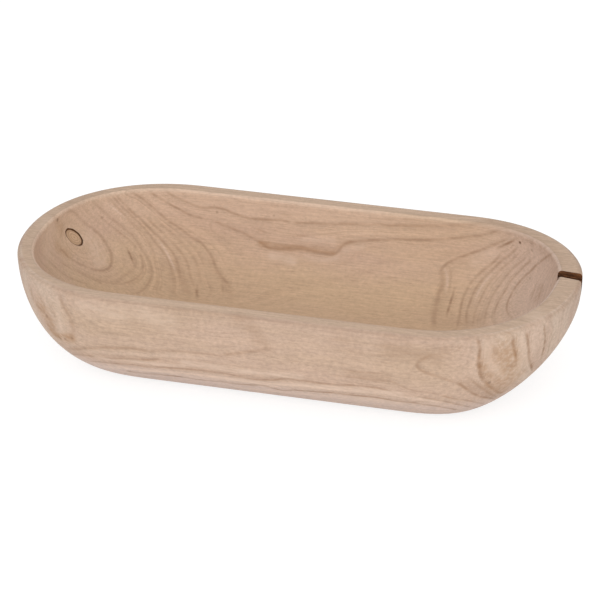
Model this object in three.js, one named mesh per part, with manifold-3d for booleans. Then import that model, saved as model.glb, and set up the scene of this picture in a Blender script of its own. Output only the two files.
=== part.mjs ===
// A long oval bowl, carved from one block of pale wood, with a flat rim. A loose knot sits in the
// wall at its left end, and an open drying split cuts through the rim at its right end.
// Units are millimetres. +X runs along the bowl to its right end, +Y goes from front to back, and
// +Z is up. The origin is the centre of the flat base.
import * as THREE from "three";
import { mergeVertices } from "three/addons/utils/BufferGeometryUtils.js";
import Module from "manifold-3d";

// Overall size
const LENGTH = 500;
const WIDTH = 240;
const HEIGHT = 100;

// Outside: the flat base, and how the plan outline changes from the base up to the rim.
// A plan outline is a straight-sided oval: STRAIGHT is half the length of its straight sides, and
// POWER is the power of the superellipse that rounds its ends, where 2 is an ellipse.
const BASE_LENGTH = 356;
const BASE_WIDTH = 136;
const BASE_STRAIGHT = 105;
const BASE_POWER = 3.2;
const RIM_STRAIGHT = 126;
const RIM_POWER = 2.12;
const RIM_EDGE_RADIUS = 5;

// Cavity: its mouth, its flat floor, and the wall that it leaves. The wall is thicker at the right
// end than at the left, because the cavity sits a little left of the middle.
const SIDE_RIM = 16.2;
const RIGHT_RIM = 22.1;
const LEFT_RIM = 16.1;
const FLOOR_THICKNESS = 16;
const FLOOR_LENGTH = 290;
const FLOOR_WIDTH = 96;
const FLOOR_STRAIGHT = 90;
const CAVITY_POWER = 2.25;
const LIP_RADIUS = 3.2;

// Wall curves. At a share w of the depth below the rim, a wall has come in by 1 - (1 - w^turn)^(1/foot)
// of its whole way to the base or floor: a high turn keeps its top upright, and a foot over 1 rounds
// it into the flat below.
const OUTER_END = { turn: 2.3, foot: 1 };
const OUTER_SIDE = { turn: 3.4, foot: 1.12 };
const CAVITY_END = { turn: 2.3, foot: 1.7 };
const CAVITY_SIDE = { turn: 3.2, foot: 1.8 };

// Open drying split in the right end of the rim: it runs nearly along the grain, from the cavity to
// the outside, widens on its way, and closes to a narrow foot.
const SPLIT_X = 238;
const SPLIT_Y = 24;
const SPLIT_SLOPE = -0.16;
const SPLIT_WIDTH = 12;
const SPLIT_OPENING = 0.06;
const SPLIT_DEPTH = 22;
const SPLIT_FOOT_WIDTH = 2.4;
const SPLIT_REACH = 34;

// The rim's outer edge and its lip over the cavity: the usual radius, the radius beside the split,
// and how far to each side of the split that spreads. There the edge is sharper, and the lip worn.
const RIM_EDGE = [RIM_EDGE_RADIUS, 2, 26];
const LIP = [LIP_RADIUS, 4.7, 18];

// Loose knot in the left end wall: the stub of a branch, which crosses the wall at a slant, so that
// it shows as an oval. It sits in its hole with a thin gap all round, where its bark was.
const KNOT_CENTRE = new THREE.Vector3(-223.5, 41, 72);
const KNOT_AXIS = new THREE.Vector3(-0.07, 0.61, -0.79).normalize();
const KNOT_RADIUS = 5.6;
const KNOT_GROWTH = 0.018;
const KNOT_GAP = 0.45;
const KNOT_REACH = 50;

// How finely the surfaces are faceted
const AROUND = 80;
const WALL_STEPS = 12;
const EDGE_STEPS = 3;
const KNOT_SIDES = 28;
const OVERCUT = 4;

const wasm = await Module();
wasm.setup();

// The share of a wall's way that it has covered at a share w of the depth below the rim.
function wallShare(w, { turn, foot }) {
  return Math.max(0, 1 - w ** turn) ** (1 / foot);
}

function between(from, to, share) {
  return from + (to - from) * share;
}

// How far an edge rounded to a radius stands back at a height below its top.
function edgeInset(below, radius) {
  if (below >= radius) return 0;
  return radius - Math.sqrt(radius ** 2 - (radius - Math.max(0, below)) ** 2);
}

// An edge radius of the rim at a point: beside the split, over a spread to each side, it changes.
function radiusAt(x, y, [usual, beside, spread]) {
  if (x < 0) return usual;
  return between(usual, beside, Math.exp(-(((y - SPLIT_Y) / spread) ** 2)));
}

// The outside's plan outline at a height.
function outerSection(z) {
  const w = (HEIGHT - z) / HEIGHT;
  const end = wallShare(w, OUTER_END);
  const side = wallShare(w, OUTER_SIDE);
  return {
    z,
    middle: 0,
    halfLength: between(BASE_LENGTH, LENGTH, end) / 2,
    halfWidth: between(BASE_WIDTH, WIDTH, side) / 2,
    straight: between(BASE_STRAIGHT, RIM_STRAIGHT, end),
    power: between(BASE_POWER, RIM_POWER, end),
    grow: (x, y) => -edgeInset(HEIGHT - z, radiusAt(x, y, RIM_EDGE)),
  };
}

// The cavity's plan outline at a height.
function cavitySection(z) {
  const w = (HEIGHT - z) / (HEIGHT - FLOOR_THICKNESS);
  const end = wallShare(Math.max(0, w), CAVITY_END);
  const side = wallShare(Math.max(0, w), CAVITY_SIDE);
  const mouthLength = LENGTH - RIGHT_RIM - LEFT_RIM;
  const mouthWidth = WIDTH - 2 * SIDE_RIM;
  return {
    z,
    middle: (LEFT_RIM - RIGHT_RIM) / 2,
    halfLength: between(FLOOR_LENGTH, mouthLength, end) / 2,
    halfWidth: between(FLOOR_WIDTH, mouthWidth, side) / 2,
    straight: between(FLOOR_STRAIGHT, RIM_STRAIGHT, end),
    power: CAVITY_POWER,
    grow: (x, y) => edgeInset(HEIGHT - z, radiusAt(x, y, LIP)),
  };
}

// A section's outline as a ring of points, counter-clockwise from above. Its grow gives how far a
// rounded edge moves a point out.
function outlineOf(section) {
  return Array.from({ length: AROUND }, (_, i) => {
    const turn = (2 * Math.PI * (i + 0.5)) / AROUND;
    const cos = Math.cos(turn);
    const sin = Math.sin(turn);
    const alongShare = Math.sign(cos) * Math.abs(cos) ** (2 / section.power);
    const acrossShare = Math.sign(sin) * Math.abs(sin) ** (2 / section.power);
    const grow = section.grow(cos, section.halfWidth * acrossShare);
    const round = section.halfLength + grow - section.straight;
    const x = Math.sign(cos) * section.straight + round * alongShare;
    const y = (section.halfWidth + grow) * acrossShare;
    return new THREE.Vector3(section.middle + x, y, section.z);
  });
}

// A closed geometry through rings of points that lie one above the other, from the lowest up.
function loft(rings) {
  const sides = rings[0].length;
  const positions = rings.flat().flatMap((p) => [p.x, p.y, p.z]);
  const faces = [];
  for (let level = 0; level + 1 < rings.length; level++) {
    for (let i = 0; i < sides; i++) {
      const next = (i + 1) % sides;
      const a = level * sides + i;
      const b = level * sides + next;
      faces.push(a, b, b + sides, a, b + sides, a + sides);
    }
  }
  const capCentre = (ring) => {
    const centre = ring.reduce((sum, p) => sum.add(p), new THREE.Vector3()).divideScalar(sides);
    positions.push(centre.x, centre.y, centre.z);
    return positions.length / 3 - 1;
  };
  const bottom = capCentre(rings[0]);
  const top = capCentre(rings.at(-1));
  const last = (rings.length - 1) * sides;
  for (let i = 0; i < sides; i++) {
    const next = (i + 1) % sides;
    faces.push(bottom, next, i, top, last + i, last + next);
  }
  return new THREE.BufferGeometry()
    .setAttribute("position", new THREE.Float32BufferAttribute(positions, 3))
    .setIndex(faces);
}

// Heights from a flat up to a rounded edge: close together near the flat, where a wall turns most,
// and again over the edge.
function levels(flat, radius) {
  const wall = HEIGHT - flat - radius;
  const up = Array.from({ length: WALL_STEPS + 1 }, (_, i) => flat + wall * (i / WALL_STEPS) ** 1.5);
  const edge = Array.from({ length: EDGE_STEPS }, (_, i) => {
    const turn = ((i + 1) / EDGE_STEPS) * (Math.PI / 2);
    return HEIGHT - radius + radius * Math.sin(turn);
  });
  return [...up, ...edge];
}

// A geometry as a manifold-3d solid, for cutting.
function solidOf(geometry) {
  const bare = geometry.clone();
  bare.deleteAttribute("normal");
  bare.deleteAttribute("uv");
  const merged = mergeVertices(bare, 1e-4);
  return new wasm.Manifold(
    new wasm.Mesh({
      numProp: 3,
      vertProperties: merged.attributes.position.array,
      triVerts: new Uint32Array(merged.index.array),
    }),
  );
}

// A manifold-3d solid as a geometry.
function geometryOf(solid) {
  const mesh = solid.getMesh();
  return new THREE.BufferGeometry()
    .setAttribute("position", new THREE.BufferAttribute(mesh.vertProperties, 3))
    .setIndex(new THREE.BufferAttribute(mesh.triVerts, 1));
}

function blankSolid() {
  return solidOf(loft(levels(0, RIM_EDGE_RADIUS).map((z) => outlineOf(outerSection(z)))));
}

function cavitySolid() {
  const rings = levels(FLOOR_THICKNESS, LIP_RADIUS).map((z) => outlineOf(cavitySection(z)));
  rings.push(rings.at(-1).map((p) => p.clone().setZ(HEIGHT + OVERCUT)));
  return solidOf(loft(rings));
}

// The split as a solid: its outline in plan widens towards the outside, and narrows with depth.
function splitSolid() {
  const depths = [1, 0.8, 0.5, 0.2, 0].map((share) => share * SPLIT_DEPTH);
  const ring = (depth) => {
    const share = Math.sqrt(1 - Math.max(0, depth) / SPLIT_DEPTH);
    const point = (ahead, side) => {
      const width = between(SPLIT_FOOT_WIDTH, SPLIT_WIDTH + SPLIT_OPENING * ahead, share);
      const y = SPLIT_Y + SPLIT_SLOPE * ahead + (side * width) / 2;
      return new THREE.Vector3(SPLIT_X + ahead, y, HEIGHT - depth);
    };
    const reach = SPLIT_REACH / 2;
    return [point(-reach, -1), point(reach, -1), point(reach, 1), point(-reach, 1)];
  };
  return solidOf(loft([...depths, -OVERCUT].map(ring)));
}

// The branch stub, or with extra its hole: a slightly tapered round bar, wider towards the bark.
function branchSolid(extra) {
  const taper = KNOT_GROWTH * KNOT_REACH;
  const bar = new THREE.CylinderGeometry(
    KNOT_RADIUS + taper + extra,
    KNOT_RADIUS - taper + extra,
    2 * KNOT_REACH,
    KNOT_SIDES,
  );
  bar.applyQuaternion(new THREE.Quaternion().setFromUnitVectors(new THREE.Vector3(0, 1, 0), KNOT_AXIS));
  bar.translate(KNOT_CENTRE.x, KNOT_CENTRE.y, KNOT_CENTRE.z);
  return solidOf(bar);
}

const paulownia = new THREE.MeshStandardMaterial({ color: 0xc6aa92, roughness: 0.72, metalness: 0 });
const knotWood = new THREE.MeshStandardMaterial({ color: 0xb0895f, roughness: 0.78, metalness: 0 });

function piece(name, solid, material) {
  const mesh = new THREE.Mesh(geometryOf(solid), material);
  mesh.name = name;
  return mesh;
}

const wall = blankSolid().subtract(cavitySolid());
const bowl = wall.subtract(branchSolid(KNOT_GAP)).subtract(splitSolid());
const knot = wall.intersect(branchSolid(0));

const group = new THREE.Group();
group.add(piece("bowl", bowl, paulownia), piece("dead_knot", knot, knotWood));

export default group;
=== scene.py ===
import math

import bmesh
import bpy
import numpy as np
from mathutils import Matrix, Vector
from mathutils.bvhtree import BVHTree


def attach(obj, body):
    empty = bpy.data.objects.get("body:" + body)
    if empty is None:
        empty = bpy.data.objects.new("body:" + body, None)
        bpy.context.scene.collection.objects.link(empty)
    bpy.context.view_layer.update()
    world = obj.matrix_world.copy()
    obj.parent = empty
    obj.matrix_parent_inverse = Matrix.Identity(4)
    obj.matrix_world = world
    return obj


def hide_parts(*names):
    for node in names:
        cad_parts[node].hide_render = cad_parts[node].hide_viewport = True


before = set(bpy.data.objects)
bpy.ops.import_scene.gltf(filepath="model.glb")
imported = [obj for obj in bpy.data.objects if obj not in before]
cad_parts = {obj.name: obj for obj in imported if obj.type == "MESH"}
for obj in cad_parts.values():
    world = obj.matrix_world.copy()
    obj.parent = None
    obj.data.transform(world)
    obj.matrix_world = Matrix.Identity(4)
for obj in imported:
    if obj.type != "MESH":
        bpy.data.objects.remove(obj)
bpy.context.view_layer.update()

MM = 0.001

# The bowl's form, with the same values as the CAD part
LENGTH = 500
WIDTH = 240
HEIGHT = 100
BASE = {"length": 356, "width": 136, "straight": 105, "power": 3.2}
RIM = {"length": LENGTH, "width": WIDTH, "straight": 126, "power": 2.12}
SIDE_RIM = 16.2
RIGHT_RIM = 22.1
LEFT_RIM = 16.1
FLOOR_THICKNESS = 16
FLOOR = {"length": 290, "width": 96, "straight": 90, "power": 2.25}
MOUTH = {
    "length": LENGTH - RIGHT_RIM - LEFT_RIM,
    "width": WIDTH - 2 * SIDE_RIM,
    "straight": 126,
    "power": 2.25,
}
CAVITY_MIDDLE = (LEFT_RIM - RIGHT_RIM) / 2
RIM_EDGE_RADIUS = 5
LIP_RADIUS = 3.2

# Wall curves: how upright the top of a wall is, and how round its foot, at the ends and the sides
OUTER_END = (2.3, 1.0)
OUTER_SIDE = (3.4, 1.12)
CAVITY_END = (2.3, 1.7)
CAVITY_SIDE = (3.2, 1.8)

SPLIT_X = 238
SPLIT_Y = 24
SPLIT_SLOPE = -0.16
SPLIT_WIDTH = 12
SPLIT_OPENING = 0.06
SPLIT_DEPTH = 22
SPLIT_FOOT_WIDTH = 2.4
SPLIT_REACH = 34

# Edges of the rim: the usual radius, the radius beside the split, and how far that spreads
RIM_EDGE = (RIM_EDGE_RADIUS, 2, 26)
LIP = (LIP_RADIUS, 4.7, 18)

KNOT_CENTRE = Vector((-223.5, 41, 72))
KNOT_AXIS = Vector((-0.07, 0.61, -0.79)).normalized()
KNOT_RADIUS = 5.6
KNOT_GROWTH = 0.018
KNOT_GAP = 0.45
KNOT_REACH = 50

# The loose knot leans to the left in its hole
KNOT_LEAN = Vector((-0.12, -0.05, -0.1))

# How finely the bowl is faceted: quads around a quarter of its end and along half its straight
# side, and rows up each part of its profile
END_STEPS = 86
STRAIGHT_STEPS = 54
BASE_ROWS = 16
WALL_ROWS = 48
EDGE_ROWS = 6
RIM_ROWS = 6
FLOOR_ROWS = 16
OUTLINE_SAMPLES = 900

# The rows of a wall crowd towards the flat below it by these powers
OUTER_CROWDING = 1.3
CAVITY_CROWDING = 1.5

# Points closer than the first are one, and faces thinner than the second are dropped
WELD = 0.01
SLIVER = 0.001

# The split's and the branch's facets, and how far the split's cutter stands over the rim
SPLIT_ROWS = 26
SPLIT_STEPS = 60
SPLIT_OVERCUT = (2, 6)
BRANCH_ROWS = 61
BRANCH_SIDES = 96

# Waves of the split's torn walls: height, waves down, waves along, and start, then how much of
# them its front and back wall have
TORN = [(0.35, 1.9, 0.11, 0), (0.2, 4.3, 0.23, 1)]
TORN_FRONT = 0.6
TORN_BACK = 0.8

# Waves round the branch: height, count, start, and twist along it
BRANCH_WAVES = [(0.12, 3, 0.7, 0), (0.08, 7, 0, 0.2)]

# Camera, fitted by least squares to the outline in the photograph
IMAGE_SIZE = 600
CAMERA_TARGET = Vector((0, 0, 50))
CAMERA_AZIMUTH = 18.443
CAMERA_ELEVATION = 27.07
CAMERA_ROLL = -1.695
CAMERA_DISTANCE = 3005.6
CAMERA_FOCUS = 3443.3
CAMERA_SHIFT = (2.0, 7.8)
SENSOR = 36
CAMERA_NEAR = 100
CAMERA_FAR = 20000


# Camera

def camera_axes():
    """The camera's place in millimetres, and its right, up and forward directions."""
    azimuth = math.radians(CAMERA_AZIMUTH)
    elevation = math.radians(CAMERA_ELEVATION)
    roll = math.radians(CAMERA_ROLL)
    back = Vector((
        math.cos(elevation) * math.sin(azimuth),
        -math.cos(elevation) * math.cos(azimuth),
        math.sin(elevation),
    ))
    level = Vector((math.cos(azimuth), math.sin(azimuth), 0))
    upright = back.cross(level)
    right = level * math.cos(roll) + upright * math.sin(roll)
    up = upright * math.cos(roll) - level * math.sin(roll)
    return CAMERA_TARGET + back * CAMERA_DISTANCE, right, up, -back


def make_camera():
    place, right, up, forward = camera_axes()
    lens = bpy.data.cameras.new("camera")
    lens.sensor_width = SENSOR
    lens.lens = CAMERA_FOCUS / IMAGE_SIZE * SENSOR
    lens.shift_x = CAMERA_SHIFT[0] / IMAGE_SIZE
    lens.shift_y = CAMERA_SHIFT[1] / IMAGE_SIZE
    lens.clip_start = CAMERA_NEAR * MM
    lens.clip_end = CAMERA_FAR * MM
    camera = bpy.data.objects.new("camera", lens)
    bpy.context.scene.collection.objects.link(camera)
    turn = Matrix((right, up, -forward)).transposed().to_4x4()
    turn.translation = place * MM
    camera.matrix_world = turn
    bpy.context.scene.camera = camera


make_camera()


# Shape

def between(low, high, share):
    return low + (high - low) * share


def wall_share(w, curve):
    turn, foot = curve
    return np.maximum(0, 1 - w ** turn) ** (1 / foot)


def edge_inset(below, radius):
    """How far an edge rounded to a radius stands back at a height below its top."""
    high = np.clip(radius - below, 0, radius)
    return radius - np.sqrt(radius ** 2 - high ** 2)


def radius_at(x, y, edge):
    """An edge radius of the rim at a point: beside the split, over a spread, it changes."""
    usual, beside, spread = edge
    return between(usual, beside, (x > 0) * np.exp(-((y - SPLIT_Y) / spread) ** 2))


def section(low, high, end, side, middle):
    """A plan outline between two outlines, at a share of the way for its ends and for its sides."""
    return {
        "middle": middle,
        "length": between(low["length"], high["length"], end) / 2,
        "width": between(low["width"], high["width"], side) / 2,
        "straight": between(low["straight"], high["straight"], end),
        "power": between(low["power"], high["power"], end),
    }


def outer_ring(z, share=1.0):
    w = (HEIGHT - z) / HEIGHT
    form = section(BASE, RIM, wall_share(w, OUTER_END), wall_share(w, OUTER_SIDE), 0)
    return outline(form, z, share, RIM_EDGE, -1)


def cavity_ring(z, share=1.0):
    w = max(0, (HEIGHT - z) / (HEIGHT - FLOOR_THICKNESS))
    form = section(FLOOR, MOUTH, wall_share(w, CAVITY_END), wall_share(w, CAVITY_SIDE), CAVITY_MIDDLE)
    return outline(form, z, share, LIP, 1)


def quarter(form):
    """A quarter of a section's outline, evenly spaced round its end and along its straight side."""
    turn = np.linspace(0, math.pi / 2, OUTLINE_SAMPLES)
    x = (form["length"] - form["straight"]) * np.cos(turn) ** (2 / form["power"])
    y = form["width"] * np.sin(turn) ** (2 / form["power"])
    run = np.concatenate([[0], np.cumsum(np.hypot(np.diff(x), np.diff(y)))])
    even = np.linspace(0, run[-1], END_STEPS + 1)
    x = np.interp(even, run, x) + form["straight"]
    y = np.interp(even, run, y)
    side = np.linspace(form["straight"], 0, STRAIGHT_STEPS + 1)[1:]
    return np.concatenate([x, side]), np.concatenate([y, np.full(STRAIGHT_STEPS, form["width"])])


def outline(form, z, share, edge, way):
    """A section's whole outline, or with a smaller share an outline shrunk towards its middle line.
    A rounded edge moves its points in, or with way 1 out."""
    x, y = quarter(form)
    x = np.concatenate([x[:-1], -x[:0:-1], -x[:-1], x[:0:-1]])
    y = np.concatenate([y[:-1], y[:0:-1], -y[:-1], -y[:0:-1]])
    grow = way * edge_inset(HEIGHT - z, radius_at(x, y, edge))
    straight = form["straight"]
    past = np.maximum(np.abs(x) - straight, 0) * (1 + grow / (form["length"] - straight)) * share
    x = np.sign(x) * (np.minimum(np.abs(x), straight) + past)
    y = y * (1 + grow / form["width"]) * share
    return np.stack([x + form["middle"], y, np.full(len(x), z)], axis=1)


def profile_rings():
    """The bowl's skin as rings: from the middle of its base out, up, over the rim, and in."""
    rings = []
    for share in np.linspace(0, 1, BASE_ROWS + 1)[:-1]:
        rings.append(outer_ring(0, share))
    wall_top = HEIGHT - RIM_EDGE_RADIUS
    for share in np.linspace(0, 1, WALL_ROWS + 1):
        rings.append(outer_ring(wall_top * share ** OUTER_CROWDING))
    for turn in np.linspace(0, math.pi / 2, EDGE_ROWS + 1)[1:]:
        rings.append(outer_ring(wall_top + RIM_EDGE_RADIUS * math.sin(turn)))
    outside = rings[-1]
    inside = cavity_ring(HEIGHT)
    for share in np.linspace(0, 1, RIM_ROWS + 1)[1:]:
        rings.append(between(outside, inside, share))
    lip = HEIGHT - LIP_RADIUS
    for turn in np.linspace(math.pi / 2, 0, EDGE_ROWS + 1)[1:]:
        rings.append(cavity_ring(lip + LIP_RADIUS * math.sin(turn)))
    for share in np.linspace(1, 0, WALL_ROWS + 1)[1:]:
        rings.append(cavity_ring(FLOOR_THICKNESS + (lip - FLOOR_THICKNESS) * share ** CAVITY_CROWDING))
    for share in np.linspace(1, 0, FLOOR_ROWS + 1)[1:]:
        rings.append(cavity_ring(FLOOR_THICKNESS, share))
    return np.array(rings)


def mesh_object(name, points, faces):
    """A new object from points in millimetres."""
    mesh = bpy.data.meshes.new(name)
    mesh.from_pydata([tuple(p) for p in np.asarray(points) * MM], [], [tuple(f) for f in faces])
    mesh.update()
    made = bpy.data.objects.new(name, mesh)
    bpy.context.scene.collection.objects.link(made)
    return made


def bowl_blank():
    rings = profile_rings()
    rows, around = rings.shape[:2]
    index = np.arange(rows * around).reshape(rows, around)
    low = index[:-1]
    high = index[1:]
    faces = np.stack([low, np.roll(low, -1, axis=1), np.roll(high, -1, axis=1), high], axis=-1)
    blank = mesh_object("bowl_wood", rings.reshape(-1, 3), faces.reshape(-1, 4))
    weld(blank)
    return blank


def weld(piece):
    """Joins the points that fall together, which closes the middle of the base and floor."""
    shape = bmesh.new()
    shape.from_mesh(piece.data)
    bmesh.ops.remove_doubles(shape, verts=shape.verts, dist=WELD * MM)
    bmesh.ops.dissolve_degenerate(shape, edges=shape.edges, dist=SLIVER * MM)
    bmesh.ops.recalc_face_normals(shape, faces=shape.faces)
    shape.to_mesh(piece.data)
    shape.free()
    piece.data.update()


def grid_solid(name, rings):
    """A closed solid through rings of points, capped at both ends with a fan."""
    rings = np.asarray(rings)
    rows, around = rings.shape[:2]
    points = list(rings.reshape(-1, 3)) + [rings[0].mean(axis=0), rings[-1].mean(axis=0)]
    faces = []
    for row in range(rows - 1):
        for i in range(around):
            after = (i + 1) % around
            a = row * around
            b = a + around
            faces.append((a + i, a + after, b + after, b + i))
    last = (rows - 1) * around
    for i in range(around):
        after = (i + 1) % around
        faces.append((rows * around, after, i))
        faces.append((rows * around + 1, last + i, last + after))
    return mesh_object(name, points, faces)


def split_cutter():
    """The open split, with torn walls that waver along the grain."""
    depths = np.concatenate([np.linspace(SPLIT_DEPTH, 0, SPLIT_ROWS), -np.array(SPLIT_OVERCUT)])
    along = np.linspace(SPLIT_X - SPLIT_REACH / 2, SPLIT_X + SPLIT_REACH / 2, SPLIT_STEPS)
    rings = []
    for depth in depths:
        below = max(0, depth)
        share = math.sqrt(1 - below / SPLIT_DEPTH)
        width = between(SPLIT_FOOT_WIDTH, SPLIT_WIDTH + SPLIT_OPENING * (along - SPLIT_X), share)
        middle = SPLIT_Y + SPLIT_SLOPE * (along - SPLIT_X)
        torn = sum(size * np.sin(below * down + along * ahead + start) for size, down, ahead, start in TORN)
        front = middle - width / 2 + torn * TORN_FRONT
        back = middle + width / 2 + torn * TORN_BACK
        level = np.full(len(along), HEIGHT - depth)
        ring = np.concatenate([
            np.stack([along, front, level], axis=1),
            np.stack([along, back, level], axis=1)[::-1],
        ])
        rings.append(ring)
    return grid_solid("split_cutter", rings)


def branch(name, extra, shift):
    """The branch stub, or with extra room its hole: slightly tapered and not quite round."""
    side = KNOT_AXIS.orthogonal().normalized()
    other = KNOT_AXIS.cross(side)
    rings = []
    for reach in np.linspace(-KNOT_REACH, KNOT_REACH, BRANCH_ROWS):
        ring = []
        for turn in np.linspace(0, 2 * math.pi, BRANCH_SIDES + 1)[:-1]:
            uneven = sum(
                size * math.sin(count * turn + start + reach * twist)
                for size, count, start, twist in BRANCH_WAVES
            )
            radius = KNOT_RADIUS + KNOT_GROWTH * reach + extra + uneven
            away = side * math.cos(turn) + other * math.sin(turn)
            ring.append(KNOT_CENTRE + shift + KNOT_AXIS * reach + away * radius)
        rings.append(ring)
    return grid_solid(name, rings)


def carve(piece, cutter, operation):
    """Cuts a piece with a solid, and drops the solid."""
    change = piece.modifiers.new(operation, "BOOLEAN")
    change.operation = operation
    change.object = cutter
    change.solver = "EXACT"
    change.material_mode = "TRANSFER"
    graph = bpy.context.evaluated_depsgraph_get()
    cut = bpy.data.meshes.new_from_object(piece.evaluated_get(graph), depsgraph=graph)
    piece.modifiers.clear()
    old = piece.data
    piece.data = cut
    bpy.data.meshes.remove(old)
    bpy.data.objects.remove(cutter)


# Growth rings. A number, the ring value, is given to every point of the block; a line of the grain
# runs where it stays the same. It grows away from the tree's middle, which lies near the bowl's
# inside, and is bent so that it keeps one value along each line read off the photograph.

# The middle of the tree: its place across and up the block as a curve along it, with its value,
# slope and turn in every 100 millimetres, fitted by least squares to lines read off the photograph
HEART_STEP = 100
HEART_Y = (-5.43, 6.1, -0.34)
HEART_Z = (55.74, -1.18, 5.03)
HEART_FLATNESS = 0.54

# In the front wall that curve is straight. A pair below is where a change is half done, and how
# softly it comes.
FRONT_HEART = (-5.4, 60)
FRONT_FROM = (60, 8)
FRONT_MIDDLE = -10
FRONT_ENDS = (-150, 12)

# Round the knot the rings are ovals: their middle, lean and shape, and their ring values
KNOT_EYE = (42, 62)
KNOT_OVAL_LEAN = (0.6, 0.8)
KNOT_OVAL = (1.12, 0.9)
KNOT_RING = 37.5
KNOT_RING_GROWTH = 0.5
KNOT_END = (190, 7)
KNOT_SIDE = (-72, 8)

# A ridge in the rings slants down the back wall, left of its middle
RIDGE_PLACE = -101
RIDGE_WIDTH = 19
RIDGE_HEIGHT = 9
RIDGE_BACK = (48, 7)
RIDGE_LEFT = (75, 10)

# Bends of the rings: centre, reach each way, and how far the ring value moves there. Its values
# -7, -3, 4, 3, -5 and -6 were fitted by least squares to lines read off the photograph, and rounded.
BENDS = [
    ((-222, -84, 92), (22, 30, 20), -2),
    ((-190, -98, 46), (22, 28, 22), -7),
    ((-236, -30, 92), (16, 40, 20), -8),
    ((-150, 104, 84), (36, 24, 26), -3),
    ((-10, 100, 50), (60, 24, 24), 4),
    ((214, 66, 98), (24, 32, 22), 3),
    ((165, 76, 38), (24, 32, 24), -5),
    ((205, -95, 98), (28, 28, 16), -6),
    ((20, -119, 74), (34, 20, 18), -1.5),
    ((-30, 126, 44), (75, 14, 26), 11),
    ((135, 124, 62), (48, 14, 24), -9),
]
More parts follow.
